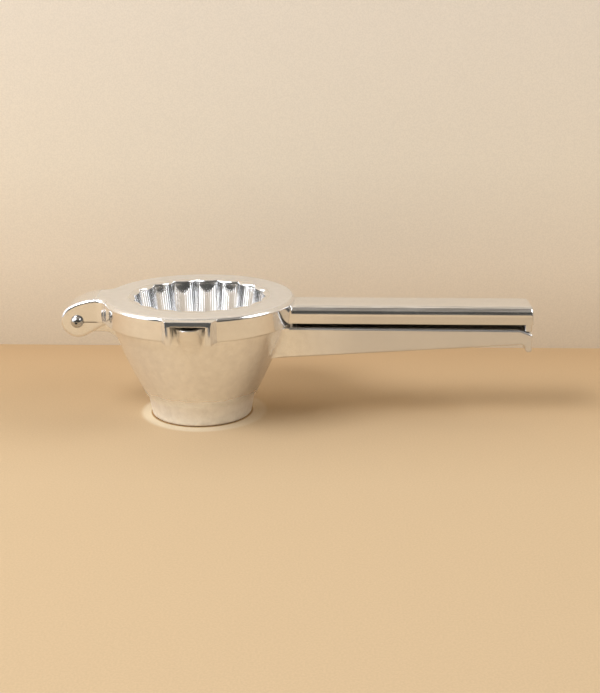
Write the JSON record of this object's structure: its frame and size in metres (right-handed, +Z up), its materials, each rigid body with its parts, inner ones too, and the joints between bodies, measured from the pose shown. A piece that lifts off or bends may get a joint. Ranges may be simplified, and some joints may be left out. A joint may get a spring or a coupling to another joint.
{
  "type": "hinged lemon squeezer",
  "caption": "Cast aluminium lemon press: a footed bowl with a pouring spout and strainer, and a hinged lid whose fluted plunger is worked by a long handle.",
  "frame": {"origin": "centre of the bowl's foot, on the table", "axes": "+X from the bowl towards the handles' free end, +Y away from the pouring spout, +Z up; the lever is closed"},
  "size_m": [0.2204, 0.0943, 0.0578],
  "materials": {
    "bowl_metal": "tumbled and lightly polished die casting",
    "lever_metal": "satin ground top, polished sides",
    "strainer_metal": "spun and perforated sheet",
    "rivet_steel": "bright steel",
    "washer_steel": "bright steel"
  },
  "bodies": {
    "bowl": {"bowl_casting": "bowl_metal", "strainer_cup": "strainer_metal"},
    "lever": {"lever_casting": "lever_metal", "hinge_rivet": "rivet_steel", "rivet_washer": "washer_steel"}
  },
  "joints": [
    {"name": "lever_hinge", "type": "hinge", "parent": "bowl", "child": "lever", "pos_m": [-0.0565, 0, 0.047], "axis": [0, -1, 0], "range_deg": [0, 115]}
  ]
}
